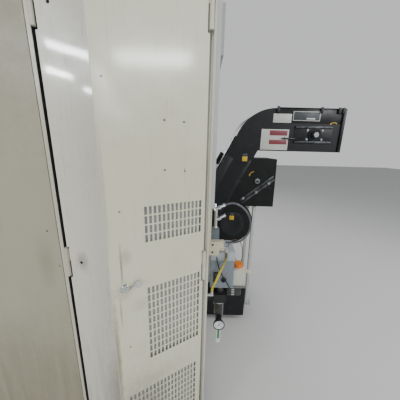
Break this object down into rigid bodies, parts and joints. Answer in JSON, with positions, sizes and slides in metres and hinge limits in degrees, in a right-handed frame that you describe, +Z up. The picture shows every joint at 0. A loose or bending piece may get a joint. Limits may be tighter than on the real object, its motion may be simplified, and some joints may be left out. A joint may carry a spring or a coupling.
{
  "type": "cnc machining center",
  "caption": "Enclosed vertical machining centre with rear control cabinet, louvred doors ajar, tool changer and side chip conveyor",
  "frame": {"origin": "on the floor, at the centre of the machine's box", "axes": "+Z up; the operator stands at -Y; the control cabinet opens towards +Y; the chip conveyor leaves towards -X"},
  "size_m": [3.78, 2.8609, 2.65],
  "materials": {
    "cream_paint": "semi-gloss orange peel, worn",
    "leaf_paint": "gloss, brushed scratches",
    "frame_paint": "semi-gloss black, chips",
    "casting_paint": "satin",
    "cover_paint": "satin",
    "zinc_steel": "zinc plated",
    "ground_steel": "ground",
    "chrome": "polished",
    "cast_table": "ground top",
    "motor_black": "satin",
    "motor_blue": "satin",
    "black_plastic": "moulded",
    "grey_plastic": "moulded",
    "cream_plastic": "moulded",
    "smoke_bowl": "translucent",
    "milky_plastic": "translucent",
    "amber_plastic": "translucent",
    "red_plastic": "glossy",
    "window": "laminated",
    "grey_hose": "tube",
    "yellow_hose": "tube",
    "electrics": "moulded"
  },
  "bodies": {
    "machine": {"cabinet_shell": "cream_paint", "cabinet_hinges": "zinc_steel", "side_cover": "cream_paint", "mounting_plate": "zinc_steel", "drive_units": "electrics", "air_junction": "cream_plastic", "air_fittings": "chrome", "air_hose": "grey_hose", "frl_unit": "black_plastic", "frl_bowls": "smoke_bowl", "lube_pump": "grey_plastic", "lube_reservoir": "milky_plastic", "yellow_hose": "yellow_hose", "bed": "casting_paint", "levelling_feet": "frame_paint", "column": "casting_paint", "fixed_rails": "ground_steel", "servo_motors": "motor_black", "enclosure_panels": "cream_paint", "enclosure_front": "cream_paint", "chip_pans": "zinc_steel", "pendant_arm": "cover_paint", "coolant_tank": "frame_paint", "conveyor_body": "frame_paint", "conveyor_belt": "zinc_steel", "conveyor_guards": "frame_paint", "conveyor_motor": "motor_blue", "signal_tower": "black_plastic"},
    "louvred_door": {"grille_door": "cream_paint", "grille_door_hinges": "zinc_steel", "grille_baffles": "cream_paint", "lock_bezel": "chrome"},
    "lock": {"lock_plug": "chrome"},
    "lock_cover": {"keyhole_cover": "chrome"},
    "narrow_leaf": {"left_leaf": "leaf_paint", "leaf_hinges": "zinc_steel"},
    "single_door": {"solid_door": "cream_paint", "solid_door_hinges": "zinc_steel"},
    "disconnect": {"disconnect_handle": "red_plastic"},
    "regulator": {"regulator_knob": "black_plastic"},
    "lube_filler": {"lube_cap": "amber_plastic"},
    "saddle_slide": {"saddle": "casting_paint"},
    "table_slide": {"table": "cast_table"},
    "head_slide": {"spindle_head": "cover_paint", "spindle_motor": "motor_black"},
    "spindle_rotor": {"spindle": "ground_steel"},
    "screw_x": {"ball_screw_x": "ground_steel"},
    "screw_y": {"ball_screw_y": "ground_steel"},
    "screw_z": {"ball_screw_z": "ground_steel"},
    "changer": {"tool_carriage": "cover_paint"},
    "carousel": {"tool_carousel": "zinc_steel", "tool_holders": "ground_steel"},
    "door_left": {"front_door_left": "cream_paint", "window_left": "window"},
    "door_right": {"front_door_right": "cream_paint", "window_right": "window"},
    "pendant": {"pendant_box": "cover_paint"},
    "stop_button": {"emergency_stop": "red_plastic"},
    "handwheel": {"jog_wheel": "black_plastic"},
    "conveyor_rotor": {"conveyor_shaft": "ground_steel"}
  },
  "joints": [
    {"name": "louvred_door_swing", "type": "hinge", "parent": "machine", "child": "louvred_door", "pos_m": [-0.734, 1.231, 1.11], "axis": [0, 0, 1], "range_deg": [-30.4, 79.6]},
    {"name": "lock_turn", "type": "hinge", "parent": "louvred_door", "child": "lock", "pos_m": [-0.45318, 1.3946, 1.11], "axis": [-0.506, 0.8625, 0], "range_deg": [-90, 0]},
    {"name": "lock_cover_swivel", "type": "hinge", "parent": "louvred_door", "child": "lock_cover", "pos_m": [-0.47215, 1.38347, 1.108], "axis": [-0.506, 0.8625, 0], "range_deg": [0, 150]},
    {"name": "narrow_leaf_swing", "type": "hinge", "parent": "machine", "child": "narrow_leaf", "pos_m": [-0.149, 1.231, 1.11], "axis": [0, 0, -1], "range_deg": [-5, 105]},
    {"name": "single_door_swing", "type": "hinge", "parent": "machine", "child": "single_door", "pos_m": [0.322, 1.231, 1.11], "axis": [0, 0, -1], "range_deg": [0, 110]},
    {"name": "disconnect_turn", "type": "hinge", "parent": "single_door", "child": "disconnect", "pos_m": [0.202, 1.231, 1.35], "axis": [0, -1, 0], "range_deg": [0, 90]},
    {"name": "regulator_turn", "type": "hinge", "parent": "machine", "child": "regulator", "pos_m": [-0.828, 1.06, 0.86], "axis": [0, 0, 1], "range_deg": [-360, 360]},
    {"name": "lube_cap_turn", "type": "hinge", "parent": "machine", "child": "lube_filler", "pos_m": [-0.925, 1.03, 0.99], "axis": [0, 0, 1], "range_deg": [0, 90]},
    {"name": "y_axis", "type": "slide", "parent": "machine", "child": "saddle_slide", "axis": [0, 1, 0], "range_m": [-0.25, 0.25]},
    {"name": "x_axis", "type": "slide", "parent": "saddle_slide", "child": "table_slide", "axis": [1, 0, 0], "range_m": [-0.34, 0.34]},
    {"name": "z_axis", "type": "slide", "parent": "machine", "child": "head_slide", "axis": [0, 0, 1], "range_m": [-0.5, 0]},
    {"name": "spindle_spin", "type": "hinge", "parent": "head_slide", "child": "spindle_rotor", "pos_m": [0.76, -0.3, 1.8], "axis": [0, 0, 1], "continuous": true},
    {"name": "x_screw_turn", "type": "hinge", "parent": "saddle_slide", "child": "screw_x", "pos_m": [0.76, -0.3, 0.79], "axis": [1, 0, 0], "continuous": true},
    {"name": "y_screw_turn", "type": "hinge", "parent": "machine", "child": "screw_y", "pos_m": [0.76, -0.3, 0.6], "axis": [0, 1, 0], "continuous": true},
    {"name": "z_screw_turn", "type": "hinge", "parent": "machine", "child": "screw_z", "pos_m": [0.76, 0.345, 1.7], "axis": [0, 0, 1], "continuous": true},
    {"name": "changer_stroke", "type": "slide", "parent": "machine", "child": "changer", "axis": [1, 0, 0], "range_m": [0, 0.35]},
    {"name": "carousel_index", "type": "hinge", "parent": "changer", "child": "carousel", "pos_m": [0.09, -0.3, 1.5], "axis": [0, 0, 1], "continuous": true},
    {"name": "left_door_slide", "type": "slide", "parent": "machine", "child": "door_left", "axis": [-1, 0, 0], "range_m": [0, 0.52]},
    {"name": "right_door_slide", "type": "slide", "parent": "machine", "child": "door_right", "axis": [1, 0, 0], "range_m": [0, 0.52]},
    {"name": "pendant_swivel", "type": "hinge", "parent": "machine", "child": "pendant", "pos_m": [1.82, -1.345, 1.7], "axis": [0, 0, 1], "range_deg": [0, 95]},
    {"name": "stop_press", "type": "slide", "parent": "pendant", "child": "stop_button", "axis": [0, 1, 0], "range_m": [0, 0.006]},
    {"name": "handwheel_turn", "type": "hinge", "parent": "pendant", "child": "handwheel", "pos_m": [1.76, -1.425, 1.2], "axis": [0, 1, 0], "continuous": true},
    {"name": "conveyor_drive_turn", "type": "hinge", "parent": "machine", "child": "conveyor_rotor", "pos_m": [-1.663, 0, 1.724], "axis": [0, 1, 0], "continuous": true}
  ],
  "couplings": [
    {"joint": "x_screw_turn", "follows": "x_axis", "rad_per_m": 314.16},
    {"joint": "y_screw_turn", "follows": "y_axis", "rad_per_m": 314.16},
    {"joint": "z_screw_turn", "follows": "z_axis", "rad_per_m": 314.16}
  ]
}
